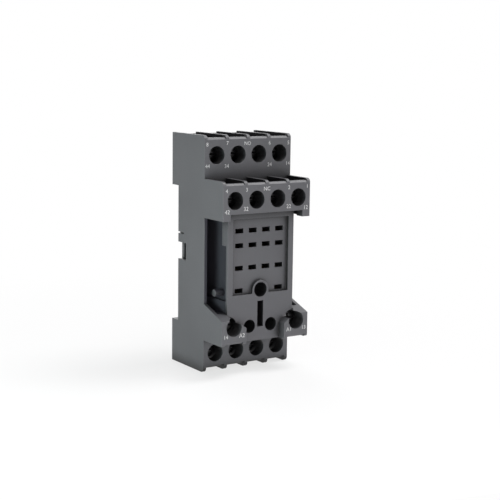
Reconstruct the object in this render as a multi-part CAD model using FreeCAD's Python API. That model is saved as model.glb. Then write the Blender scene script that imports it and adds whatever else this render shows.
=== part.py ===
# Screw-terminal socket for a 14-pin miniature relay, for a 35 mm mounting rail.
#
# Frame: X across the width, +Y to the back (towards the rail), +Z up. The origin is the centre of
# the bounding box, at the foot of the socket. A depth is a distance forward of the rearmost plane.

import FreeCAD, Part
import math
import os
from collections import namedtuple

Vector = FreeCAD.Vector

# Overall size and the front planes of the steps. Heights follow the whole height by their share of it.
width = 28.5
height = 66.4
height_share = height / 66.4
low_front = 17.9
high_front = 27.75
platform_drop = 2.85
platform_front = high_front - platform_drop
shelf_height = 54.5 * height_share
step_bottom = 43.8 * height_share
ear_bottom = 9.3 * height_share
ear_top = 16.3 * height_share
ear_slope_top = 19.7 * height_share
ear_width = 7.9
ear_chamfer_drop = 2.4
ear_chamfer_low = ear_top - ear_chamfer_drop
ear_chamfer_width = 5.3
ear_chamfer_height = 3.75
ear_corner_radius = 0.7
corner_radius = 1.2

# How far a cut runs past the face it opens, and the smallest edge worth drawing
overcut = 1.0
tiny = 1e-6

# Mounting rail recess
rail_depth = 3.5
rail_low = 12.4 * height_share
rail_high = 51.5 * height_share
rail_width = 35.0 * height_share
rail_thickness = 1.0
rail_clearance = 0.1

# Housing walls
side_wall = 1.0
rear_side_wall = 1.1
central_rib = 1.2
rear_end_wall = 1.3
rear_wall_drop = 0.5
lip_wall = 1.6
lip_chamfer = 0.5
no_lip = 0.7
nc_lip = 0.6
coil_lip = 0.35
com_lip = 1.15
pocket_rib = 1.0
pocket_floor_margin = 0.5

# Terminal screws, clamp plates and the holes for the screwdriver
terminal_margin = 0.45
hole_pitch = (width - 2 * terminal_margin) / 4
pocket_width = hole_pitch - pocket_rib
hole_wall = 0.95
hole_radius = hole_pitch / 2 - hole_wall
head_clearance = 0.25
head_radius = hole_radius - head_clearance
head_height = 1.9
head_slot_width = 0.7
head_slot_depth = 1.0
shank_radius = 1.5
shank_length = 5.0
thread_clearance = 0.05
clamp_clearance = 0.08
clamp_side_clearance = 0.15
clamp_width = 2 * (hole_radius - clamp_side_clearance)
clamp_height = 4.7
clamp_thickness = 1.0
clamp_gap = 0.05
screw_travel = 2.5
chamber_width = 2 * hole_radius
chamber_front_clearance = 0.2
pad_depth = 7.5

# Contacts
strip_thickness = 1.0
strip_width = 2.4
strip_run = 3.5
pad_side_gap = 0.75
pad_width = hole_pitch - 2 * pad_side_gap
pad_wire_side = 2.0
pad_strip_side = 2.4
contact_clearance = 0.05
neck_width = 1.2
neck_height = 0.8
fork_width = 2.2
fork_half_height = 1.2
fork_leaf = 0.4
fork_gap = 0.22
fork_reach = 1.55
fork_length = 5.2
fork_front = high_front - pad_depth + fork_reach
fork_back = fork_front - fork_length
fork_bend = 3.2
fork_nip = 0.9
fork_flare = 0.36
fork_room_width = 2.7
fork_room_height = 3.0

# Relay seat, its slots and holes
slot_side_margin = 7.65
slot_column_pitch = (width / 2 - slot_side_margin) * 2 / 3
slot_width = 2.6
slot_height = 1.35
slot_wall = 0.9
nc_slot_height = 40.4 * height_share
no_slot_drop = 4.1 * height_share
com_slot_drop = 6.3 * height_share
coil_slot_drop = 6.35 * height_share
platform_inset = 3.4
seat_inset = 5.05
seat_recess = 1.0
seat_low = 22.6 * height_share
seat_boss_radius = 2.65
centre_hole_radius = 2.1
centre_hole_depth = 7.0
key_slot_width = 1.95
key_slot_low = 13.1 * height_share
key_slot_high = 20.5 * height_share
key_slot_depth = 5.0
module_hole_radius = 1.9
module_hole_x = 3.55
module_hole_height = 13.5 * height_share
module_hole_depth = 7.0

# Side recesses for the relay's retaining clip
recess_floor_set_back = 7.3
recess_floor = low_front - recess_floor_set_back
recess_low = 17.4 * height_share
recess_high = 45.6 * height_share
recess_edge_drop = 1.2
recess_front = platform_front - recess_edge_drop
undercut_inset = 5.0
undercut_low = 20.8 * height_share
undercut_high = 43.0 * height_share
undercut_step = 36.5 * height_share
undercut_thin = 0.9
undercut_foot_inset = 4.0
undercut_thick = 3.0
recess_overlap = 0.5
pivot_boss_radius = 1.0
pivot_boss_length = 1.3
pivot_boss_set_back = 5.0
pivot_boss_depth = platform_front - pivot_boss_set_back
pivot_boss_height = 22.9 * height_share
step_wall = 2.4
step_underside = 45.6 * height_share

# Details of the side walls at the back
notch_low = 30.5 * height_share
notch_high = 35.4 * height_share
notch_depth = 4.4
slit_height = 38.1 * height_share
slit_width = 0.5
slit_depth = 3.2
slit_groove = 0.6

# Rear cover
cover_clearance = 0.05
cover_low = 3.25 * height_share
cover_high = 62.95 * height_share
cover_skin = 1.5
cover_step_skin = 1.5
cavity_front = low_front - pad_depth - strip_thickness
rib_thickness = 1.2
rib_heights = tuple(share * height for share in (0.1446, 0.4277, 0.5723, 0.8524))
rib_clearance = 0.1
stiffener_x = 4.4
hook_x = 8.2
hook_width = 5.0
hook_lip = 1.8
hook_lead = 0.8
rail_pad_rise = 0.2
rail_pad_margin = 6.5
rail_pad_edge = 1.6

# Rail clip and its spring
clip_width = 10.0
clip_tongue_width = 8.4
clip_back = 0.3
clip_flange_back = 1.6
clip_front = 3.1
clip_clearance = 0.1
clip_travel = 2.2
clip_end_gap = 0.1
clip_foot_low = 2.4 * height_share
clip_foot_width = 6.0
clip_foot_front = 1.2
clip_foot_hole_width = 2.4
clip_foot_hole_low = 3.2 * height_share
clip_foot_hole_high = 4.4 * height_share
clip_notch_clearance = 0.5
clip_window_width = 6.4
clip_window_border = 0.9
clip_window_roof = 1.75
lug_width = 4.6
lug_height = 1.1
lug_back = 0.5
spring_leaf = 0.25
spring_turns = 4
spring_half_width = 2.6
spring_back = 0.9
spring_front = 2.6
spring_end_gap = 0.05

# How far each row's screws sit from the edge where its wires come in
no_row_inset = 5.5
nc_row_inset = 5.2
coil_row_inset = 5.0
com_row_inset = 5.3

Row = namedtuple("Row", "labels columns height front wire edge lip slot_height")

rear_y = high_front / 2
nc_z = nc_slot_height
no_z = nc_z - no_slot_drop
com_z = no_z - com_slot_drop
coil_z = com_z - coil_slot_drop


def row_of(labels, columns, front, wire, edge, inset, lip, slot_height):
    """One row of terminals. wire is +1 where its wires come in from above, -1 from below."""
    return Row(labels, columns, edge - wire * inset, front, wire, edge, lip, slot_height)


# The four rows of terminals, from the top
rows = (
    row_of(("44", "34", "24", "14"), (0, 1, 2, 3), low_front, 1, height, no_row_inset, no_lip, no_z),
    row_of(("42", "32", "22", "12"), (0, 1, 2, 3), high_front, 1, shelf_height, nc_row_inset, nc_lip, nc_z),
    row_of(("a2", "a1"), (0, 3), high_front, -1, ear_bottom, coil_row_inset, coil_lip, coil_z),
    row_of(("41", "31", "21", "11"), (0, 1, 2, 3), low_front, -1, 0.0, com_row_inset, com_lip, com_z),
)


def y_at(depth):
    return rear_y - depth


def hole_x(column):
    return (column - 1.5) * hole_pitch


def slot_x(column):
    return (column - 1.5) * slot_column_pitch


def box(x0, x1, depth0, depth1, z0, z1):
    low_x, low_z = min(x0, x1), min(z0, z1)
    near, far = max(depth0, depth1), min(depth0, depth1)
    return Part.makeBox(abs(x1 - x0), near - far, abs(z1 - z0), Vector(low_x, y_at(near), low_z))


def rod_y(x, z, radius, depth0, depth1):
    near, far = max(depth0, depth1), min(depth0, depth1)
    return Part.makeCylinder(radius, near - far, Vector(x, y_at(near), z), Vector(0, 1, 0))


def rod_x(x0, x1, depth, z, radius):
    return Part.makeCylinder(radius, x1 - x0, Vector(x0, y_at(depth), z), Vector(1, 0, 0))


def face_of(points):
    """A flat face from points (position, corner radius), with tangent arcs at the rounded corners."""
    edges = []
    ends = []
    count = len(points)
    for index, (corner, radius) in enumerate(points):
        if radius == 0:
            ends.append((corner, corner))
            continue
        before = (points[index - 1][0] - corner).normalize()
        after = (points[(index + 1) % count][0] - corner).normalize()
        half_turn = before.getAngle(after) / 2
        reach = radius / math.tan(half_turn)
        bisector = (before + after).normalize()
        centre = corner + bisector * (radius / math.sin(half_turn))
        start, stop = corner + before * reach, corner + after * reach
        edges.append(Part.Arc(start, centre - bisector * radius, stop).toShape())
        ends.append((start, stop))
    for index in range(count):
        start, stop = ends[index][1], ends[(index + 1) % count][0]
        if start.distanceToPoint(stop) > tiny:
            edges.append(Part.LineSegment(start, stop).toShape())
    return Part.Face(Part.Wire(Part.__sortEdges__(edges)))


def side_prism(points, x0, x1):
    """Prism along X from (depth, height) or (depth, height, corner radius) points."""
    corners = [(Vector(x0, y_at(p[0]), p[1]), p[2] if len(p) > 2 else 0) for p in points]
    return face_of(corners).extrude(Vector(x1 - x0, 0, 0))


def front_prism(points, depth0, depth1):
    """Prism along Y from (x, height) or (x, height, corner radius) points."""
    near, far = max(depth0, depth1), min(depth0, depth1)
    corners = [(Vector(p[0], y_at(near), p[1]), p[2] if len(p) > 2 else 0) for p in points]
    return face_of(corners).extrude(Vector(0, near - far, 0))


def fused(shapes):
    whole = shapes[0]
    if len(shapes) > 1:
        whole = whole.multiFuse(shapes[1:])
    return whole.removeSplitter()


def without(shape, cuts):
    return shape.cut(cuts).removeSplitter()


def mirrored(shape):
    return shape.mirror(Vector(0, 0, 0), Vector(1, 0, 0))


def pad_outline_parts(row, column, grow):
    """The flat outline of a contact, grown all round: its screw pad and its strip, as front prisms."""
    x, strip_x = hole_x(column), slot_x(column)
    wire = row.wire
    near = row.height + wire * (pad_wire_side + grow)
    far = row.height - wire * (pad_strip_side + grow)
    half_pad = pad_width / 2 + grow
    pad = [(x - half_pad, near), (x + half_pad, near), (x + half_pad, far), (x - half_pad, far)]
    half_strip = strip_width / 2 + grow
    inward = -1 if x > 0 else 1
    neck_x = x + inward * min(abs(x - strip_x), half_pad - half_strip)
    neck_start = row.height - wire * (pad_strip_side - strip_thickness)
    bend = row.height - wire * pad_strip_side
    straight = bend - wire * strip_run
    if row.front == high_front:
        end = row.slot_height + wire * (fork_half_height - fork_leaf / 2 - grow)
    else:
        end = row.slot_height - wire * (neck_height / 2 + grow)
    strip = [
        (neck_x - half_strip, neck_start), (neck_x + half_strip, neck_start), (neck_x + half_strip, bend),
        (strip_x + half_strip, straight), (strip_x + half_strip, end), (strip_x - half_strip, end),
        (strip_x - half_strip, straight), (neck_x - half_strip, bend),
    ]
    return pad, strip


def fork(x, z):
    """Hairpin spring that grips a relay pin: two leaves that close to a nip and flare at the mouth."""
    outer = fork_half_height
    inner = outer - fork_leaf
    nip = fork_front - fork_nip
    bend = fork_front - fork_bend
    flare = fork_gap + fork_flare
    upper = [
        (fork_back, outer), (bend, outer), (nip, fork_gap + fork_leaf), (fork_front, flare + fork_leaf),
        (fork_front, flare), (nip, fork_gap), (bend, inner), (fork_back + fork_leaf, inner),
    ]
    lower = [(depth, -offset) for depth, offset in reversed(upper)]
    points = [(depth, z + offset) for depth, offset in upper + lower]
    return side_prism(points, x - fork_width / 2, x + fork_width / 2)


def contact(row, column):
    front = row.front - pad_depth
    back = front - strip_thickness
    pad, strip = pad_outline_parts(row, column, 0)
    pieces = [front_prism(pad, back, front), front_prism(strip, back, front)]
    pieces.append(fork(slot_x(column), row.slot_height))
    if row.front == low_front:
        half = neck_width / 2
        x = slot_x(column)
        low, high = row.slot_height - neck_height / 2, row.slot_height + neck_height / 2
        root, tip = front - strip_thickness / 2, fork_back + fork_leaf / 2
        pieces.append(box(x - half, x + half, root, tip, low, high))
    radius = shank_radius + thread_clearance
    hole = rod_y(hole_x(column), row.height, radius, back - overcut, front + overcut)
    return without(fused(pieces), [hole])


def clamp_plate(row, column):
    """Captive square plate under the screw head, with a lead-in for the wire."""
    x, z, wire = hole_x(column), row.height, row.wire
    back = row.front - pad_depth + clamp_gap
    front = back + clamp_thickness
    half = clamp_height / 2
    lead = clamp_thickness / 2
    outline = [(front, -half), (front, half), (back + lead, half), (back, half - lead), (back, -half)]
    points = [(depth, z + wire * rise) for depth, rise in outline]
    plate = side_prism(points, x - clamp_width / 2, x + clamp_width / 2)
    hole = rod_y(x, z, shank_radius + clamp_clearance, back - overcut, front + overcut)
    return without(plate, [hole])


def terminal_screw(row, column):
    """M3 screw with a round, slotted head."""
    x, z = hole_x(column), row.height
    seat = row.front - pad_depth + clamp_gap + clamp_thickness
    top = seat + head_height
    head = rod_y(x, z, head_radius, seat, top)
    shank = rod_y(x, z, shank_radius, seat - shank_length, seat + head_slot_depth / 2)
    half = head_slot_width / 2
    slot = box(x - head_radius, x + head_radius, top - head_slot_depth, top + overcut, z - half, z + half)
    return without(fused([head, shank]), [slot])


def slot_box(row, column, across, upright, depth0, depth1):
    """A box centred on one slot of the relay seat."""
    x, z = slot_x(column), row.slot_height
    return box(x - across / 2, x + across / 2, depth0, depth1, z - upright / 2, z + upright / 2)


def terminal_cuts(row, column):
    """What one terminal cuts from the housing: driver hole, clamp chamber, wire pocket, contact way."""
    x, z, wire, front = hole_x(column), row.height, row.wire, row.front
    pad_front = front - pad_depth
    chamber_front = pad_front + clamp_gap + clamp_thickness + screw_travel + chamber_front_clearance
    floor = z + wire * (hole_radius + pocket_floor_margin)
    pocket_front = front - lip_wall
    pocket_rear = rear_end_wall if front == low_front else low_front
    lip = row.edge - wire * row.lip
    outside = row.edge + wire * overcut
    half = pocket_width / 2
    pocket = side_prism([
        (pocket_rear, floor), (pocket_front, floor), (pocket_front, lip), (front - lip_chamfer, lip),
        (front, lip - wire * lip_chamfer), (front + overcut, lip - wire * lip_chamfer),
        (front + overcut, outside), (pocket_rear, outside),
    ], x - half, x + half)
    chamber_half = chamber_width / 2
    chamber_end = z - wire * hole_radius
    chamber = box(x - chamber_half, x + chamber_half, pad_front, chamber_front, chamber_end, floor)
    hole = rod_y(x, z, hole_radius, chamber_front, front + overcut)
    pad, strip = pad_outline_parts(row, column, contact_clearance)
    ways = [front_prism(outline, cavity_front, pad_front) for outline in (pad, strip)]
    room_front = platform_front - seat_recess - slot_wall
    room = slot_box(row, column, fork_room_width, fork_room_height, cavity_front, room_front)
    slot = slot_box(row, column, slot_width, slot_height, room_front, platform_front + overcut)
    return [pocket, chamber, hole, room, slot] + ways


def side_recess():
    """The recess beside the platform on +X, and the undercut behind the platform's edge."""
    edge = width / 2 - platform_inset
    recess = side_prism([
        (recess_floor, recess_low), (recess_front, recess_low), (recess_front, step_bottom),
        (platform_front, step_bottom), (platform_front, recess_high), (recess_floor, recess_high),
    ], edge, width / 2 - side_wall)
    thin, thick = platform_front - undercut_thin, platform_front - undercut_thick
    undercut = side_prism([
        (recess_floor, undercut_low), (thin, undercut_low), (thin, undercut_step), (thick, undercut_step),
        (thick, undercut_high), (recess_floor, undercut_high),
    ], width / 2 - undercut_inset, edge + recess_overlap)
    foot = box(width / 2 - undercut_foot_inset, edge + recess_overlap, recess_floor, thin,
               recess_low, undercut_low + overcut)
    return fused([recess, undercut, foot])


def seat_cuts():
    """The shallow relay seat, leaving a boss round the centre hole."""
    half = width / 2 - seat_inset
    floor = platform_front - seat_recess
    behind, ahead = floor - overcut, platform_front + 2 * overcut
    seat = box(-half, half, floor, platform_front + overcut, seat_low, step_bottom)
    boss = fused([
        rod_y(0, coil_z, seat_boss_radius, behind, ahead),
        box(-seat_boss_radius, seat_boss_radius, behind, ahead, seat_low - overcut, coil_z),
    ])
    return [seat.cut(boss)]


def housing_outside():
    half = width / 2
    platform_half = half - platform_inset
    between_ears = half - ear_width
    between_step_walls = half - step_wall
    outside = side_prism([
        (0, 0), (low_front, 0, corner_radius), (low_front, ear_bottom),
        (high_front, ear_bottom, ear_corner_radius), (high_front, ear_top),
        (low_front, ear_slope_top), (low_front, step_bottom),
        (high_front, step_bottom), (high_front, shelf_height, corner_radius),
        (low_front, shelf_height), (low_front, height, corner_radius), (0, height),
        (0, rail_high), (rail_depth, rail_high), (rail_depth, rail_low), (0, rail_low),
    ], -half, half)
    back, ahead = low_front - overcut, high_front + overcut
    platform = box(-platform_half, platform_half, back, platform_front, ear_bottom, step_underside)
    ears_apart = box(-between_ears, between_ears, platform_front, ahead,
                     ear_bottom - overcut, ear_slope_top)
    step_hollow = box(-between_step_walls, between_step_walls, platform_front, ahead,
                      step_bottom - overcut, step_underside)
    chamfer_start = between_ears - overcut
    chamfer_top = ear_chamfer_low + ear_chamfer_height
    chamfer = front_prism([
        (chamfer_start, ear_chamfer_low), (between_ears, ear_chamfer_low),
        (between_ears + ear_chamfer_width, chamfer_top), (chamfer_start, chamfer_top),
    ], platform_front, ahead)
    return without(fused([outside, platform]), [ears_apart, step_hollow, chamfer, mirrored(chamfer)])


def housing_back_cuts():
    """The opening for the rear cover, the room behind the contacts, and the edges' notches."""
    half = width / 2
    inside = half - rear_side_wall
    cuts = [
        box(-half + side_wall, half - side_wall, -overcut, rear_end_wall,
            height - rear_wall_drop, height + overcut),
        box(-inside, inside, -overcut, rail_depth + cover_step_skin, cover_low, cover_high),
    ]
    notch_half = clip_foot_width / 2 + clip_notch_clearance
    cuts.append(box(-notch_half, notch_half, -overcut, rear_end_wall, -overcut, cover_low + overcut))
    behind = rail_depth - overcut
    for sign in (-1, 1):
        cuts.append(box(sign * central_rib / 2, sign * inside, 0, cavity_front, cover_low, cover_high))
        edge, deep = sign * (half + overcut), sign * (inside - overcut)
        cuts.append(box(edge, deep, behind, rail_depth + notch_depth, notch_low, notch_high))
        low, high = slit_height - slit_width / 2, slit_height + slit_width / 2
        groove_floor = sign * (half - slit_groove)
        cuts.append(box(edge, groove_floor, behind, rail_depth + slit_depth, low, high))
    return cuts


def platform_holes():
    half = key_slot_width / 2
    ahead = platform_front + overcut
    cuts = [
        rod_y(0, coil_z, centre_hole_radius, platform_front - centre_hole_depth, ahead),
        box(-half, half, platform_front - key_slot_depth, ahead, key_slot_low, key_slot_high),
    ]
    floor = platform_front - module_hole_depth
    for x in (-module_hole_x, module_hole_x):
        cuts.append(rod_y(x, module_hole_height, module_hole_radius, floor, ahead))
    return cuts


def housing():
    recess = side_recess()
    cuts = [recess, mirrored(recess)] + seat_cuts() + platform_holes() + housing_back_cuts()
    for row in rows:
        for column in row.columns:
            cuts += terminal_cuts(row, column)
    body = without(housing_outside(), cuts)
    edge = width / 2 - undercut_inset
    boss_end = width / 2 - platform_inset + pivot_boss_length
    boss = rod_x(edge - recess_overlap, boss_end, pivot_boss_depth, pivot_boss_height, pivot_boss_radius)
    return fused([body, boss, mirrored(boss)])


def rear_cover():
    """Back cover with the rail recess, the two fixed hooks and the channel of the rail clip."""
    half = width / 2 - rear_side_wall - cover_clearance
    low, high = cover_low + cover_clearance, cover_high - cover_clearance
    inner = rail_depth + cover_step_skin - cover_clearance
    skin_top = rail_high + cover_skin
    step = rail_depth + rail_pad_rise
    pad_half = half - rail_pad_edge
    pieces = [side_prism([
        (0, low), (0, rail_low), (step, rail_low), (step, rail_high), (0, rail_high), (0, high),
        (cover_skin, high), (cover_skin, skin_top), (inner, skin_top), (inner, low),
    ], -half, half)]
    pad_low, pad_high = rail_low + rail_pad_margin, rail_high - rail_pad_margin
    pieces.append(box(-pad_half, pad_half, rail_depth, inner, pad_low, pad_high))
    rib_front = cavity_front - cover_clearance
    rib_start, rib_end = central_rib / 2 + rib_clearance, half - rib_clearance
    rib_half = rib_thickness / 2
    half_skin = cover_skin / 2
    rail_top = (rail_low + rail_high + rail_width) / 2 + rail_clearance
    lip_front = rail_depth - rail_thickness - rail_clearance
    lip_low = rail_top - hook_lip
    root = rail_high + half_skin
    hook = [
        (0, root), (inner, root), (inner, rail_top), (lip_front, rail_top),
        (lip_front, lip_low + hook_lead), (lip_front - hook_lead, lip_low), (0, lip_low),
    ]
    for sign in (-1, 1):
        for z in rib_heights:
            pieces.append(box(sign * rib_start, sign * rib_end, inner - half_skin, rib_front,
                              z, z + rib_thickness))
        x = sign * stiffener_x
        pieces.append(box(x - rib_half, x + rib_half, half_skin, inner, skin_top - half_skin, high))
        x = sign * hook_x
        pieces.append(side_prism(hook, x - hook_width / 2, x + hook_width / 2))
    flange_half = clip_width / 2 + clip_clearance
    tongue_half = clip_tongue_width / 2 + clip_clearance
    channel_front = clip_front + clip_clearance
    channel_lip = clip_flange_back - clip_clearance
    channel = fused([
        box(-flange_half, flange_half, channel_lip, channel_front, low - overcut, rail_low + overcut),
        box(-tongue_half, tongue_half, -overcut, channel_front, low - overcut, rail_low + overcut),
    ])
    lug_low = clip_low() + clip_window_border + clip_end_gap
    lug = box(-lug_width / 2, lug_width / 2, lug_back, channel_front + clip_clearance,
              lug_low, lug_low + lug_height)
    return fused([without(fused(pieces), [channel]), lug])


def clip_low():
    """Foot of the clip's wide part: its whole travel stays above the housing's lower wall."""
    return cover_low + clip_travel + clip_end_gap


def clip_window_top():
    return rail_clip_shoulder() - clip_window_roof


def rail_clip_shoulder():
    return (rail_low + rail_high - rail_width) / 2 - rail_clearance


def rail_clip():
    """Sliding foot: a flanged tongue with a nose behind the rail and a window for its spring."""
    flange_half = clip_width / 2
    tongue_half = clip_tongue_width / 2
    foot_half = clip_foot_width / 2
    low = clip_low()
    shoulder = rail_clip_shoulder()
    sill = low + clip_window_border
    nose_front = rail_depth - rail_thickness - rail_clearance
    nose_top = shoulder + hook_lip
    nose = [
        (clip_back, low), (nose_front, low), (nose_front, nose_top - hook_lead),
        (nose_front - hook_lead, nose_top), (clip_back, nose_top),
    ]
    solid = fused([
        box(-flange_half, flange_half, clip_flange_back, clip_front, low, shoulder),
        side_prism(nose, -tongue_half, tongue_half),
        box(-foot_half, foot_half, clip_back, clip_foot_front, clip_foot_low, sill),
    ])
    window_half = clip_window_width / 2
    hole_half = clip_foot_hole_width / 2
    behind, ahead = clip_back - overcut, clip_front + overcut
    return without(solid, [
        box(-window_half, window_half, behind, ahead, sill, clip_window_top()),
        box(-hole_half, hole_half, behind, ahead, clip_foot_hole_low, clip_foot_hole_high),
    ])


def clip_spring():
    """Folded leaf spring between the cover's lug and the top of the clip's window."""
    lug_top = clip_low() + clip_window_border + clip_end_gap + lug_height
    low = lug_top + spring_end_gap + spring_leaf / 2
    high = clip_window_top() - spring_end_gap - spring_leaf / 2
    rise = (high - low) / spring_turns
    line = [(-spring_half_width, low)]
    for turn in range(spring_turns + 1):
        side = 1 if turn % 2 == 0 else -1
        line.append((side * spring_half_width, low + turn * rise))
    line.append((-line[-1][0], high))
    half = spring_leaf / 2
    leaves = []
    for (x0, z0), (x1, z1) in zip(line, line[1:]):
        outline = [(x0, z0 - half), (x1, z1 - half), (x1, z1 + half), (x0, z0 + half)]
        leaves.append(front_prism(outline, spring_back, spring_front))
    return fused(leaves)


def write(name, shape):
    shape.exportStep("parts/" + name + ".step")


def main():
    os.makedirs("parts", exist_ok=True)
    write("housing", housing())
    write("rear_cover", rear_cover())
    write("rail_clip", rail_clip())
    write("clip_spring", clip_spring())
    for row in rows:
        for label, column in zip(row.labels, row.columns):
            write("contact_" + label, contact(row, column))
            write("clamp_" + label, clamp_plate(row, column))
            write("screw_" + label, terminal_screw(row, column))


main()
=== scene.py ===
"""Looks of a rail-mounted relay socket: materials, screws, terminal numbers, studio and camera."""

import math

import bmesh
import bpy
from mathutils import Matrix, Vector


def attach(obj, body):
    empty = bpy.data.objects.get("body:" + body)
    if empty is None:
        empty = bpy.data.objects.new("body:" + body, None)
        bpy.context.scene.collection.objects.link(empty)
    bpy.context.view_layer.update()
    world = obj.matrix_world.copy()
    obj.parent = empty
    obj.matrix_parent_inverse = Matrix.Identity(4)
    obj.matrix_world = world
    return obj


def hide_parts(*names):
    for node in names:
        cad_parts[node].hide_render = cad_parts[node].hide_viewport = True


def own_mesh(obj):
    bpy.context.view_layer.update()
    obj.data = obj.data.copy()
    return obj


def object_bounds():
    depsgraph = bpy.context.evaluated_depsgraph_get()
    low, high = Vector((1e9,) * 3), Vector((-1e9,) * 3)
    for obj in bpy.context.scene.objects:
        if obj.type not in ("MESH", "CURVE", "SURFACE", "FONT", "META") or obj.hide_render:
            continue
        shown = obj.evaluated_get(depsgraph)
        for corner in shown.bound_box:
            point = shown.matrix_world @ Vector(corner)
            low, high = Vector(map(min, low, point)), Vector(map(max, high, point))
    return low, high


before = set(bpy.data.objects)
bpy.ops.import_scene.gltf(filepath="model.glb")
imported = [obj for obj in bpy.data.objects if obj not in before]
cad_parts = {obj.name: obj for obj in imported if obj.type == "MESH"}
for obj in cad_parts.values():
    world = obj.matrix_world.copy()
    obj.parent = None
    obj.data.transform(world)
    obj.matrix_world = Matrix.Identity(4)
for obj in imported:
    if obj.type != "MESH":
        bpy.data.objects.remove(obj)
cad_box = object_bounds()

MM = 0.001

# The housing's rear plane, from which depths are counted towards the front
REAR_Y = 13.875

# Terminals: per row, the labels, the columns, the height and the front plane's depth
HOLE_PITCH = 6.9
MIDDLE_COLUMN = 1.5
LOW_FRONT = 17.9
HIGH_FRONT = 27.75
TERMINAL_ROWS = (
    (("44", "34", "24", "14"), (0, 1, 2, 3), 60.9, LOW_FRONT),
    (("42", "32", "22", "12"), (0, 1, 2, 3), 49.3, HIGH_FRONT),
    (("a2", "a1"), (0, 3), 14.3, HIGH_FRONT),
    (("41", "31", "21", "11"), (0, 1, 2, 3), 5.3, LOW_FRONT),
)

# Hollows that are dark in the photograph, where a near-black painted shade is put into the colour, as
# boxes: x limits, front and rear depth, floor and top
# The first two, above the upper rows, count x from the middle of the nearest rib
POCKET_SHADE_BOXES = ((0.49, 3.5, 16.3, 1.3, 63.9, 66.5), (0.49, 3.5, 26.15, 17.94, 52.3, 54.6))
RECESS_SHADE_BOXES = (
    (9.2, 12.1, 20.85, 10.5, 17.3, 45.7),
    (12.1, 14.0, 17.95, 10.5, 17.3, 45.7),
    (9.2, 10.8, 22.97, 20.85, 17.3, 36.45),
)
# Painted shade: the colours painted into the pockets and recesses, and the lowered specular level
# that stands in for shade there
POCKET_SHADE_COLOUR = (0.016, 0.016, 0.018)
RECESS_SHADE_COLOUR = (0.045, 0.045, 0.054)
OPEN_GLOSS = 0.5
PAINTED_SHADE_GLOSS = 0.1

# Colours
HOUSING_GREY = (0.081, 0.081, 0.088)
COVER_GREY = (0.075, 0.075, 0.081)
CLIP_BLACK = (0.02, 0.02, 0.022)
STEEL = (0.42, 0.42, 0.43)
SPRING_STEEL = (0.62, 0.62, 0.63)
BRASS = (0.7, 0.5, 0.24)
INK = (0.62, 0.62, 0.62)
WHITE = (1.0, 1.0, 1.0)

# Surface noise: its usual lowest and highest value, its scales, per metre, and its stretches
NOISE_RANGE = (0.3, 0.7)
FLOW_MOTTLE = 55.0
FLOW_WAVES = 160.0
WEAR_AND_HIGHLIGHT_PATCHES = 420.0
PALE_SPECKS = 2600.0
SPARK_GRAIN = 3800.0
STEEL_CLOUDS = 500.0
STEEL_STREAKS = 900.0
BRASS_TARNISH = 300.0
BRASS_DRAWING = 1800.0
INK_MOTTLE = 1500.0
STREAK_STRETCH = (1.0, 6.0, 1.0)
DRAWN_STRETCH = (1.0, 1.0, 0.08)

# Tones that the noise and the edges give, as parts of the colour
MOTTLE_TONES = (0.93, 1.07)
SPECK_TONE = 1.35
SPECK_SHARE = 0.25
CLOUD_TONES = (0.82, 1.08)
TARNISH_TONE = 0.6
TARNISH_SHARE = 0.7
WORN_INK_TONE = 0.72

# Relief of the surfaces and the radius of their edges, in millimetres
WAVE_RELIEF = 0.05
GRAIN_RELIEF = 0.012
STREAK_RELIEF = 0.01
DRAWN_RELIEF = 0.008
INK_RELIEF = 0.01
PLASTIC_EDGE = 0.12
BRASS_EDGE = 0.06
CLAMP_EDGE = 0.06
SCREW_EDGE = 0.05
SPRING_EDGE = 0.03
EDGE_SAMPLES = 6

# Shade in holes and gaps: how far it reaches in millimetres, and the openness it runs between
PLASTIC_SHADE = 5.0
METAL_SHADE = 3.0
SHADE_OPENNESS = (0.52, 0.9)
SHADE_FLOOR = 0.08
SHADE_SAMPLES = 8

# Screws: the seat's depth behind the front plane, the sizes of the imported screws, and the bevel,
# slots and thread that only the looks have
SCREW_SEAT_DEPTH = 6.44
HEAD_RADIUS = 2.25
HEAD_HEIGHT = 1.9
HEAD_BEVEL = 0.3
BEVEL_BULGE = 0.3
SLOT_WIDTH = 0.7
SLOT_DEPTH = 1.0
CROSS_LENGTH = 2.6
SHANK_RADIUS = 1.5
SHANK_LENGTH = 5.0
SHANK_TIP = 0.4
THREAD_PITCH = 0.5
THREAD_DEPTH = 0.3
NECK_LENGTH = 0.35
HEAD_SIDES = 64
SHANK_SIDES = 32
RINGS_A_TURN = 8
SLOT_OVERRUN = 1.1
SLOT_CLEARANCE = 1.0
SMOOTH_ANGLE = 35

# Terminal numbers: text, then x, height and letter size in millimetres
NUMBERS_LOW_FRONT = (
    ("8", -13.4, 63.85, 1.5), ("7", -6.95, 64.05, 1.5), ("NO", -0.35, 63.9, 1.4),
    ("6", 7.05, 63.85, 1.5), ("5", 13.45, 63.75, 1.5),
    ("44", -13.3, 57.9, 1.5), ("34", -7.15, 57.75, 1.5),
    ("24", 7.1, 57.75, 1.5), ("14", 13.3, 57.9, 1.5),
)
NUMBERS_HIGH_FRONT = (
    ("4", -13.1, 52.0, 1.5), ("3", -6.75, 52.1, 1.5), ("NC", -0.2, 52.15, 1.5),
    ("2", 7.15, 52.15, 1.5), ("1", 13.3, 52.25, 1.5),
    ("42", -12.9, 46.3, 1.6), ("32", -6.95, 46.9, 1.6),
    ("22", 7.1, 46.9, 1.6), ("12", 12.85, 46.3, 1.6),
    ("14", -13.0, 11.9, 1.5), ("A2", -7.75, 11.9, 1.6),
    ("A1", 7.95, 11.9, 1.6), ("13", 12.95, 12.0, 1.5),
)
PRINT_THICKNESS = 0.02
PRINT_SINK = 0.005
LETTER_SMOOTHNESS = 4

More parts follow.
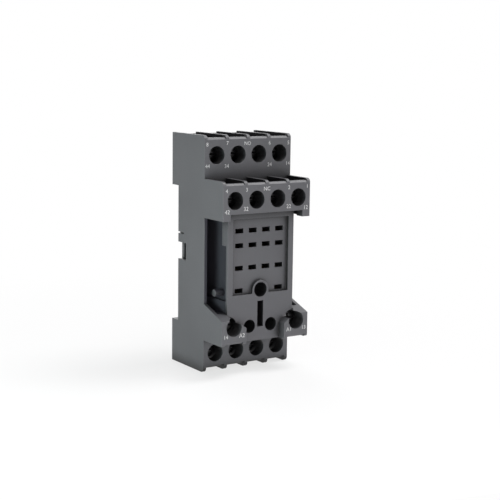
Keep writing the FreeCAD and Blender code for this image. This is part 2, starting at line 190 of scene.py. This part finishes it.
# Camera, from a fit to the photograph's edges and holes
CAMERA_AT = (-180.08, -282.72, 86.03)
CAMERA_RIGHT = (0.83973, -0.54286, 0.01279)
CAMERA_DOWN = (-0.07378, -0.1374, -0.98776)
CAMERA_AHEAD = (0.53797, 0.82851, -0.15543)
LENS = 85.557
SENSOR = 36.0
NEAR_LIMIT = 0.01
FAR_LIMIT = 20.0

# Floor: half its side in metres, its drop below the part in millimetres, and its look
# Its own shaded share gives way to plain white between the two distances, in metres
FLOOR_HALF = 1.5
FLOOR_DROP = 0.02
FLOOR_COLOUR = (0.85, 0.85, 0.85)
GLOW_DISTANCES = (0.03, 0.16)
GLOW_NEAR_SHARE = 0.7

# Light: the world's strength, the lamps' target height in millimetres, and the lamps with
# azimuth (0 in front, positive to the left), elevation, distance, size, power and colour
AMBIENT = 0.15
LAMP_TARGET = 33
LAMPS = {
    "lamp_top": (-20, 70, 0.9, 0.5, 2.6, (1.0, 0.97, 1.0)),
    "lamp_left": (76, -12, 0.15, 0.09, 0.23, (0.82, 1.0, 0.96)),
    "lamp_rim": (-73, 56, 0.9, 0.35, 5.0, WHITE),
    "lamp_low": (12, -14, 0.12, 0.07, 0.09, (1.0, 0.98, 1.0)),
    "lamp_back": (195, 30, 0.9, 0.5, 3.0, WHITE),
}


def y_at(depth):
    return REAR_Y - depth


def column_x(column):
    return (column - MIDDLE_COLUMN) * HOLE_PITCH


def add_object(name, mesh):
    piece = bpy.data.objects.new(name, mesh)
    bpy.context.scene.collection.objects.link(piece)
    return piece


def smooth_by_angle(mesh, degrees):
    """Smooth shading with sharp edges wherever two faces meet at more than the angle."""
    limit = math.radians(degrees)
    work = bmesh.new()
    work.from_mesh(mesh)
    for face in work.faces:
        face.smooth = True
    for edge in work.edges:
        edge.smooth = len(edge.link_faces) == 2 and edge.calc_face_angle(0) < limit
    work.to_mesh(mesh)
    work.free()


# Materials

class Shader:
    """A material's node tree with short calls for adding and linking nodes."""

    def __init__(self, name):
        self.material = bpy.data.materials.new(name)
        self.material.use_nodes = True
        self.tree = self.material.node_tree
        self.tree.nodes.clear()
        self.surface = self.add("ShaderNodeBsdfPrincipled")
        self.output = self.add("ShaderNodeOutputMaterial")
        self.link(self.surface.outputs[0], self.output.inputs["Surface"])
        self.place = self.add("ShaderNodeTexCoord").outputs["Object"]

    def add(self, kind, **values):
        node = self.tree.nodes.new(kind)
        for key, value in values.items():
            setattr(node, key, value)
        return node

    def link(self, source, target):
        self.tree.links.new(source, target)

    def feed(self, target, value):
        """Links a socket's output, or writes a plain value."""
        if isinstance(value, bpy.types.NodeSocket):
            self.link(value, target)
        else:
            target.default_value = value

    def noise(self, scale, detail=2.0, rough=0.5, place=None):
        node = self.add("ShaderNodeTexNoise")
        self.link(place or self.place, node.inputs["Vector"])
        node.inputs["Scale"].default_value = scale
        node.inputs["Detail"].default_value = detail
        node.inputs["Roughness"].default_value = rough
        return node.outputs[0]

    def stretched(self, factors):
        node = self.add("ShaderNodeMapping")
        self.link(self.place, node.inputs["Vector"])
        node.inputs["Scale"].default_value = factors
        return node.outputs[0]

    def spread(self, value, low, high, to_low, to_high):
        node = self.add("ShaderNodeMapRange")
        self.feed(node.inputs["Value"], value)
        limits = {"From Min": low, "From Max": high, "To Min": to_low, "To Max": to_high}
        for key, number in limits.items():
            node.inputs[key].default_value = number
        return node.outputs[0]

    def maths(self, operation, first, second):
        node = self.add("ShaderNodeMath", operation=operation)
        self.feed(node.inputs[0], first)
        self.feed(node.inputs[1], second)
        return node.outputs[0]

    def mix(self, factor, first, second, blend="MIX"):
        node = self.add("ShaderNodeMix", data_type="RGBA", blend_type=blend)
        self.feed(node.inputs[0], factor)
        self.feed(node.inputs[6], first)
        self.feed(node.inputs[7], second)
        return node.outputs[2]

    def bump(self, height, strength, distance, normal=None):
        node = self.add("ShaderNodeBump")
        self.link(height, node.inputs["Height"])
        node.inputs["Strength"].default_value = strength
        node.inputs["Distance"].default_value = distance
        if normal:
            self.link(normal, node.inputs["Normal"])
        return node.outputs[0]

    def rounded(self, radius):
        """A normal that rounds the edges, and how far it turns from the face's own normal there."""
        bevel = self.add("ShaderNodeBevel", samples=EDGE_SAMPLES)
        bevel.inputs["Radius"].default_value = radius
        plain = self.add("ShaderNodeNewGeometry").outputs["Normal"]
        dot = self.add("ShaderNodeVectorMath", operation="DOT_PRODUCT")
        self.link(bevel.outputs[0], dot.inputs[0])
        self.link(plain, dot.inputs[1])
        turned = self.spread(dot.outputs["Value"], 0.7, 1.0, 1.0, 0.0)
        return bevel.outputs[0], turned

    def shaded(self, distance):
        """Painted shade: a factor, multiplied into the colour, that falls from 1 in the open to
        almost 0 deep in holes and gaps.
        """
        node = self.add("ShaderNodeAmbientOcclusion", samples=SHADE_SAMPLES)
        node.inputs["Distance"].default_value = distance
        return self.spread(node.outputs["AO"], *SHADE_OPENNESS, SHADE_FLOOR, 1.0)

    def axes(self):
        """The object's own x, y and z."""
        place = self.add("ShaderNodeSeparateXYZ")
        self.link(self.place, place.inputs[0])
        return place.outputs

    def inside(self, value, low, high):
        """1 where a value lies between two limits, 0 elsewhere."""
        over = self.maths("GREATER_THAN", value, low)
        under = self.maths("LESS_THAN", value, high)
        return self.maths("MULTIPLY", over, under)

    def within(self, x, boxes):
        """1 inside any box: x limits, front and rear depth, floor and top in millimetres."""
        place = self.axes()
        total = 0.0
        for low, high, front, rear, floor, top in boxes:
            across = self.inside(x, low * MM, high * MM)
            along = self.inside(place[1], y_at(front) * MM, y_at(rear) * MM)
            up = self.inside(place[2], floor * MM, top * MM)
            box = self.maths("MULTIPLY", self.maths("MULTIPLY", across, along), up)
            total = self.maths("ADD", box, total)
        return total

    def pocket_shade_mask(self):
        """Mask for painted shade: 1 on the walls of the upper wire pockets, between their ribs, and 0
        elsewhere.
        """
        from_rib = self.maths("PINGPONG", self.axes()[0], HOLE_PITCH / 2 * MM)
        return self.within(from_rib, POCKET_SHADE_BOXES)

    def recess_shade_mask(self):
        """Mask for painted shade: 1 in the two recesses beside the platform, and 0 elsewhere."""
        from_middle = self.maths("ABSOLUTE", self.axes()[0], 0.0)
        return self.within(from_middle, RECESS_SHADE_BOXES)

    def set(self, **values):
        for key, value in values.items():
            self.feed(self.surface.inputs[key.replace("_", " ")], value)


def rgba(colour):
    return (colour[0], colour[1], colour[2], 1.0)


def scaled(colour, factor):
    return rgba([channel * factor for channel in colour])


def moulded_plastic(name, colour, roughness, edge_wear_and_highlight, paint_hollow_shade=False):
    """Matte moulded plastic: flow mottling, fine grain, polished edges lightened partly by wear and
    partly by a painted highlight, and painted shade in its depths.
    """
    shader = Shader(name)
    mottle = shader.spread(shader.noise(FLOW_MOTTLE, 3.0), *NOISE_RANGE, 0.0, 1.0)
    darker, lighter = MOTTLE_TONES
    tone = shader.mix(mottle, scaled(colour, darker), scaled(colour, lighter))
    speck = shader.spread(shader.noise(PALE_SPECKS, 2.0), 0.55, 0.8, 0.0, SPECK_SHARE)
    tone = shader.mix(speck, tone, scaled(colour, SPECK_TONE))
    normal, turned = shader.rounded(PLASTIC_EDGE * MM)
    # Painted highlight and wear: rounded edges, in patches, lightened towards a brighter colour; the
    # polish below uses the same mask
    wear_and_highlight = shader.spread(shader.noise(WEAR_AND_HIGHLIGHT_PATCHES, 3.0), 0.35, 0.65, 0.35, 1.0)
    worn = shader.maths("MULTIPLY", turned, wear_and_highlight)
    tone = shader.mix(worn, tone, scaled(colour, edge_wear_and_highlight))
    # Painted shade: the colour darkens in holes, gaps and corners
    tone = shader.mix(1.0, tone, shader.shaded(PLASTIC_SHADE * MM), "MULTIPLY")
    # Painted shade: a near-black colour and a lowered specular level in the wire pockets and side
    # recesses
    if paint_hollow_shade:
        pocket_shade = shader.pocket_shade_mask()
        recess_shade = shader.recess_shade_mask()
        tone = shader.mix(pocket_shade, tone, rgba(POCKET_SHADE_COLOUR))
        tone = shader.mix(recess_shade, tone, rgba(RECESS_SHADE_COLOUR))
        hollow_shade_mask = shader.maths("ADD", pocket_shade, recess_shade)
        shader.set(Specular_IOR_Level=shader.spread(hollow_shade_mask, 0.0, 1.0, OPEN_GLOSS, PAINTED_SHADE_GLOSS))
    grain = shader.noise(SPARK_GRAIN, 3.0, 0.6)
    waves = shader.noise(FLOW_WAVES, 2.0)
    normal = shader.bump(waves, 0.12, WAVE_RELIEF * MM, normal)
    normal = shader.bump(grain, 0.35, GRAIN_RELIEF * MM, normal)
    grained = shader.spread(grain, *NOISE_RANGE, roughness - 0.06, roughness + 0.06)
    polish = shader.maths("MULTIPLY", worn, 0.12)
    shine = shader.maths("SUBTRACT", grained, polish)
    shader.set(Base_Color=tone, Roughness=shine, Normal=normal, IOR=1.5)
    return shader.material


def plated_steel(name, colour, roughness, radius):
    """Plated steel: faint streaks, a cloudy passivated tone and rounded edges."""
    shader = Shader(name)
    cloud = shader.spread(shader.noise(STEEL_CLOUDS, 3.0), *NOISE_RANGE, 0.0, 1.0)
    darker, lighter = CLOUD_TONES
    tone = shader.mix(cloud, scaled(colour, darker), scaled(colour, lighter))
    # Painted shade: the colour darkens in holes and gaps
    tone = shader.mix(1.0, tone, shader.shaded(METAL_SHADE * MM), "MULTIPLY")
    streak = shader.noise(STEEL_STREAKS, 2.0, 0.5, shader.stretched(STREAK_STRETCH))
    normal = shader.rounded(radius)[0]
    normal = shader.bump(streak, 0.2, STREAK_RELIEF * MM, normal)
    shine = shader.spread(streak, *NOISE_RANGE, roughness - 0.05, roughness + 0.09)
    shader.set(Base_Color=tone, Metallic=1.0, Roughness=shine, Normal=normal)
    return shader.material


def rolled_brass(name, colour):
    """Rolled brass strip with a drawn grain along its length and a little tarnish."""
    shader = Shader(name)
    tarnish = shader.spread(shader.noise(BRASS_TARNISH, 4.0), 0.4, 0.75, 0.0, TARNISH_SHARE)
    tone = shader.mix(tarnish, rgba(colour), scaled(colour, TARNISH_TONE))
    # Painted shade: the colour darkens in holes and gaps
    tone = shader.mix(1.0, tone, shader.shaded(METAL_SHADE * MM), "MULTIPLY")
    drawn = shader.noise(BRASS_DRAWING, 2.0, 0.5, shader.stretched(DRAWN_STRETCH))
    normal = shader.rounded(BRASS_EDGE * MM)[0]
    normal = shader.bump(drawn, 0.15, DRAWN_RELIEF * MM, normal)
    shine = shader.spread(drawn, *NOISE_RANGE, 0.26, 0.4)
    shader.set(Base_Color=tone, Metallic=1.0, Roughness=shine, Normal=normal)
    return shader.material


def printing_ink(name, colour):
    """Pad-printed ink, slightly uneven and worn."""
    shader = Shader(name)
    uneven = shader.noise(INK_MOTTLE, 3.0)
    worn = shader.spread(uneven, 0.35, 0.7, 0.0, 1.0)
    tone = shader.mix(worn, rgba(colour), scaled(colour, WORN_INK_TONE))
    normal = shader.bump(uneven, 0.2, INK_RELIEF * MM)
    shader.set(Base_Color=tone, Roughness=0.6, Normal=normal)
    return shader.material


plastic = moulded_plastic("socket_plastic", HOUSING_GREY, roughness=0.5, edge_wear_and_highlight=2.6, paint_hollow_shade=True)
cover_plastic = moulded_plastic("cover_plastic", COVER_GREY, roughness=0.52, edge_wear_and_highlight=1.6)
clip_plastic = moulded_plastic("clip_plastic", CLIP_BLACK, roughness=0.38, edge_wear_and_highlight=2.2)
screw_steel = plated_steel("screw_steel", STEEL, roughness=0.3, radius=SCREW_EDGE * MM)
clamp_steel = plated_steel("clamp_steel", STEEL, roughness=0.34, radius=CLAMP_EDGE * MM)
leaf_steel = plated_steel("leaf_steel", SPRING_STEEL, roughness=0.24, radius=SPRING_EDGE * MM)
brass = rolled_brass("contact_brass", BRASS)
ink = printing_ink("number_ink", INK)


def material_of(node):
    kinds = {
        "housing": plastic, "rear_cover": cover_plastic, "rail_clip": clip_plastic,
        "clip_spring": leaf_steel, "contact": brass, "clamp": clamp_steel, "screw": screw_steel,
    }
    return kinds.get(node) or kinds[node.split("_")[0]]


for node_name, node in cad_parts.items():
    for index in range(len(node.material_slots)):
        node.material_slots[index].material = material_of(node_name)


# Screws

def turned_profile(work, points, sides):
    """A closed solid of revolution about Z from (radius, z) points, first and last on the axis."""
    rings = []
    for radius, z in points:
        if radius == 0:
            rings.append([work.verts.new((0, 0, z))])
            continue
        ring = []
        for side in range(sides):
            angle = 2 * math.pi * side / sides
            ring.append(work.verts.new((radius * math.cos(angle), radius * math.sin(angle), z)))
        rings.append(ring)
    for lower, upper in zip(rings, rings[1:]):
        for side in range(sides):
            after = (side + 1) % sides
            corners = [lower[side % len(lower)], lower[after % len(lower)],
                       upper[after % len(upper)], upper[side % len(upper)]]
            work.faces.new(list(dict.fromkeys(corners)))


def boxed_mesh(name, low, high):
    middle = [(least + most) / 2 for least, most in zip(low, high)]
    span = [most - least for least, most in zip(low, high)]
    work = bmesh.new()
    bmesh.ops.create_cube(work, size=1.0)
    for vert in work.verts:
        vert.co = [middle[axis] + vert.co[axis] * span[axis] for axis in range(3)]
    mesh = bpy.data.meshes.new(name)
    work.to_mesh(mesh)
    work.free()
    return mesh


def mesh_of(piece):
    """A new mesh with the piece's shape after its modifiers."""
    bpy.context.view_layer.update()
    depsgraph = bpy.context.evaluated_depsgraph_get()
    return bpy.data.meshes.new_from_object(piece.evaluated_get(depsgraph))


def cut_mesh(mesh, cutters):
    """The mesh less each cutter's mesh, by exact booleans."""
    body = add_object("work_body", mesh)
    helpers = [add_object("work_cutter", cutter) for cutter in cutters]
    for helper in helpers:
        cut = body.modifiers.new("cut", "BOOLEAN")
        cut.operation = "DIFFERENCE"
        cut.solver = "EXACT"
        cut.object = helper
    result = mesh_of(body)
    for helper in [body] + helpers:
        bpy.data.objects.remove(helper)
    return result


def screw_head_mesh():
    """Round head with a bevelled rim, a full slot and a short cross slot, seated at Z = 0."""
    work = bmesh.new()
    outer, top, bevel = HEAD_RADIUS * MM, HEAD_HEIGHT * MM, HEAD_BEVEL * MM
    turned_profile(work, [
        (0, 0), (outer - bevel / 3, 0), (outer, bevel / 3), (outer, top - bevel),
        (outer - bevel * BEVEL_BULGE, top - bevel * BEVEL_BULGE), (outer - bevel, top), (0, top),
    ], HEAD_SIDES)
    mesh = bpy.data.meshes.new("screw_head")
    work.to_mesh(mesh)
    work.free()
    half, floor, roof = SLOT_WIDTH * MM / 2, top - SLOT_DEPTH * MM, top + SLOT_CLEARANCE * MM
    reach = CROSS_LENGTH * MM / 2
    past = outer * SLOT_OVERRUN
    slot = boxed_mesh("slot", (-past, -half, floor), (past, half, roof))
    cross = boxed_mesh("cross", (-half, -reach, floor), (half, reach, roof))
    return cut_mesh(mesh, [slot, cross])


def screw_shank_mesh():
    """Threaded shank below the head: each ring follows the helix, and the tip is coned."""
    work = bmesh.new()
    pitch, depth, radius = THREAD_PITCH * MM, THREAD_DEPTH * MM, SHANK_RADIUS * MM
    length, tip, neck = SHANK_LENGTH * MM, SHANK_TIP * MM, NECK_LENGTH * MM
    count = round(RINGS_A_TURN * length / pitch)
    rings = []
    for index in range(count + 1):
        z = -length * index / count
        fade = min(1.0, max(0.0, (-z - neck) / pitch))
        end = max(0.0, (-z - (length - tip)) / tip)
        ring = []
        for side in range(SHANK_SIDES):
            angle = 2 * math.pi * side / SHANK_SIDES
            phase = (z / pitch - side / SHANK_SIDES) % 1.0
            groove = 1.0 - abs(2.0 * phase - 1.0)
            r = radius - depth * groove * fade * (1.0 - end) - tip * end
            ring.append(work.verts.new((r * math.cos(angle), r * math.sin(angle), z)))
        rings.append(ring)
    for upper, lower in zip(rings, rings[1:]):
        for side in range(SHANK_SIDES):
            after = (side + 1) % SHANK_SIDES
            work.faces.new((upper[side], lower[side], lower[after], upper[after]))
    work.faces.new(rings[0])
    work.faces.new(list(reversed(rings[-1])))
    bmesh.ops.recalc_face_normals(work, faces=work.faces)
    mesh = bpy.data.meshes.new("screw_shank")
    work.to_mesh(mesh)
    work.free()
    return mesh


def joined(name, meshes):
    work = bmesh.new()
    for mesh in meshes:
        work.from_mesh(mesh)
    whole = bpy.data.meshes.new(name)
    work.to_mesh(whole)
    work.free()
    return whole


screw_mesh = joined("screw", [screw_head_mesh(), screw_shank_mesh()])
smooth_by_angle(screw_mesh, SMOOTH_ANGLE)
screw_mesh.materials.clear()
screw_mesh.materials.append(screw_steel)

for labels, columns, height, front in TERMINAL_ROWS:
    for label, column in zip(labels, columns):
        screw = add_object("terminal_screw_" + label, screw_mesh.copy())
        seat = Vector((column_x(column), y_at(front - SCREW_SEAT_DEPTH), height)) * MM
        screw.matrix_world = Matrix.Translation(seat) @ Matrix.Rotation(math.radians(90), 4, "X")
        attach(screw, "screw_" + label)
        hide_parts("screw_" + label)


# Clip spring: a copy with a mesh of its own; the real spring is squeezed on its lug as the rail clip
# slides down

spring = add_object("leaf_spring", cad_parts["clip_spring"].data.copy())
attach(spring, "socket")
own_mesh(spring)
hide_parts("clip_spring")


# Terminal numbers

def word_mesh(text, size):
    """One word as a thin flat mesh, centred on the origin and facing up."""
    curve = bpy.data.curves.new("word", "FONT")
    curve.body = text
    curve.size = size * MM
    curve.align_x = "CENTER"
    curve.align_y = "CENTER"
    curve.extrude = PRINT_THICKNESS * MM / 2
    curve.resolution_u = LETTER_SMOOTHNESS
    word = add_object("word", curve)
    mesh = mesh_of(word)
    bpy.data.objects.remove(word)
    return mesh


def numbers_piece(name, words, depth):
    """The printed words of one front plane, as one thin raised piece."""
    stand = Matrix.Rotation(math.radians(90), 4, "X")
    y = y_at(depth) - PRINT_THICKNESS / 2 + PRINT_SINK
    meshes = []
    for text, x, z, size in words:
        mesh = word_mesh(text, size)
        mesh.transform(Matrix.Translation(Vector((x, y, z)) * MM) @ stand)
        meshes.append(mesh)
    whole = joined(name, meshes)
    whole.materials.clear()
    whole.materials.append(ink)
    piece = add_object(name, whole)
    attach(piece, "socket")


numbers_piece("numbers_low_front", NUMBERS_LOW_FRONT, LOW_FRONT)
numbers_piece("numbers_high_front", NUMBERS_HIGH_FRONT, HIGH_FRONT)


# Studio

def seen_by_eye(path, nodes, links):
    """1 for rays from the camera, a gloss or a glass, and 0 for those that light the part."""
    kinds = ("Is Camera Ray", "Is Glossy Ray", "Is Transmission Ray")
    total = path.outputs[kinds[0]]
    for kind in kinds[1:]:
        larger = nodes.new("ShaderNodeMath")
        larger.operation = "MAXIMUM"
        links.new(total, larger.inputs[0])
        links.new(path.outputs[kind], larger.inputs[1])
        total = larger.outputs[0]
    return total


def studio_floor(level):
    """White floor that keeps the shadow near the part and runs out into the white background."""
    shader = Shader("floor")
    shader.set(Base_Color=rgba(FLOOR_COLOUR), Roughness=0.9, Specular_IOR_Level=0.1)
    glow = shader.add("ShaderNodeEmission")
    path = shader.add("ShaderNodeLightPath")
    blend = shader.add("ShaderNodeMixShader")
    away = shader.add("ShaderNodeVectorMath", operation="LENGTH")
    shader.link(shader.place, away.inputs[0])
    glow_share = shader.spread(away.outputs["Value"], *GLOW_DISTANCES, GLOW_NEAR_SHARE, 1.0)
    seen = seen_by_eye(path, shader.tree.nodes, shader.tree.links)
    shader.link(shader.maths("MULTIPLY", seen, glow_share), blend.inputs[0])
    shader.link(shader.surface.outputs[0], blend.inputs[1])
    shader.link(glow.outputs[0], blend.inputs[2])
    shader.link(blend.outputs[0], shader.output.inputs["Surface"])
    signs = ((-1, -1), (1, -1), (1, 1), (-1, 1))
    corners = [(x * FLOOR_HALF, y * FLOOR_HALF, level) for x, y in signs]
    mesh = bpy.data.meshes.new("floor")
    mesh.from_pydata(corners, [], [(0, 1, 2, 3)])
    mesh.materials.append(shader.material)
    add_object("floor", mesh)


def studio_world(ambient):
    """A world that lights the part at an even strength and looks white."""
    world = bpy.data.worlds.new("studio")
    world.use_nodes = True
    nodes, links = world.node_tree.nodes, world.node_tree.links
    nodes.clear()
    path = nodes.new("ShaderNodeLightPath")
    dim = nodes.new("ShaderNodeBackground")
    dim.inputs["Strength"].default_value = ambient
    white = nodes.new("ShaderNodeBackground")
    blend = nodes.new("ShaderNodeMixShader")
    links.new(seen_by_eye(path, nodes, links), blend.inputs[0])
    links.new(dim.outputs[0], blend.inputs[1])
    links.new(white.outputs[0], blend.inputs[2])
    white.inputs["Color"].default_value = rgba(WHITE)
    dim.inputs["Color"].default_value = rgba(WHITE)
    output = nodes.new("ShaderNodeOutputWorld")
    links.new(blend.outputs[0], output.inputs["Surface"])
    bpy.context.scene.world = world


def softbox(name, azimuth, elevation, distance, size, power, colour):
    """A square area lamp that faces the part."""
    centre = Vector((0, 0, LAMP_TARGET * MM))
    turn, rise = math.radians(azimuth), math.radians(elevation)
    level = math.cos(rise)
    towards = Vector((-math.sin(turn) * level, -math.cos(turn) * level, math.sin(rise)))
    lamp = bpy.data.lights.new(name, "AREA")
    lamp.shape = "SQUARE"
    lamp.size = size
    lamp.energy = power
    lamp.color = colour
    light = bpy.data.objects.new(name, lamp)
    light.location = centre + towards * distance
    light.rotation_euler = towards.to_track_quat("Z", "Y").to_euler()
    light.visible_camera = False
    bpy.context.scene.collection.objects.link(light)


studio_floor(cad_box[0][2] - FLOOR_DROP * MM)
studio_world(AMBIENT)
for lamp_name, placing in LAMPS.items():
    softbox(lamp_name, *placing)


# Camera

camera_data = bpy.data.cameras.new("camera")
camera_data.lens = LENS
camera_data.sensor_width = SENSOR
camera_data.sensor_fit = "HORIZONTAL"
camera_data.clip_start = NEAR_LIMIT
camera_data.clip_end = FAR_LIMIT
camera = bpy.data.objects.new("camera", camera_data)
right, down, ahead = Vector(CAMERA_RIGHT), Vector(CAMERA_DOWN), Vector(CAMERA_AHEAD)
facing = Matrix((right, -down, -ahead)).transposed().to_4x4()
camera.matrix_world = Matrix.Translation(Vector(CAMERA_AT) * MM) @ facing
bpy.context.scene.collection.objects.link(camera)
bpy.context.scene.camera = camera
bpy.context.scene.view_settings.view_transform = "Standard"
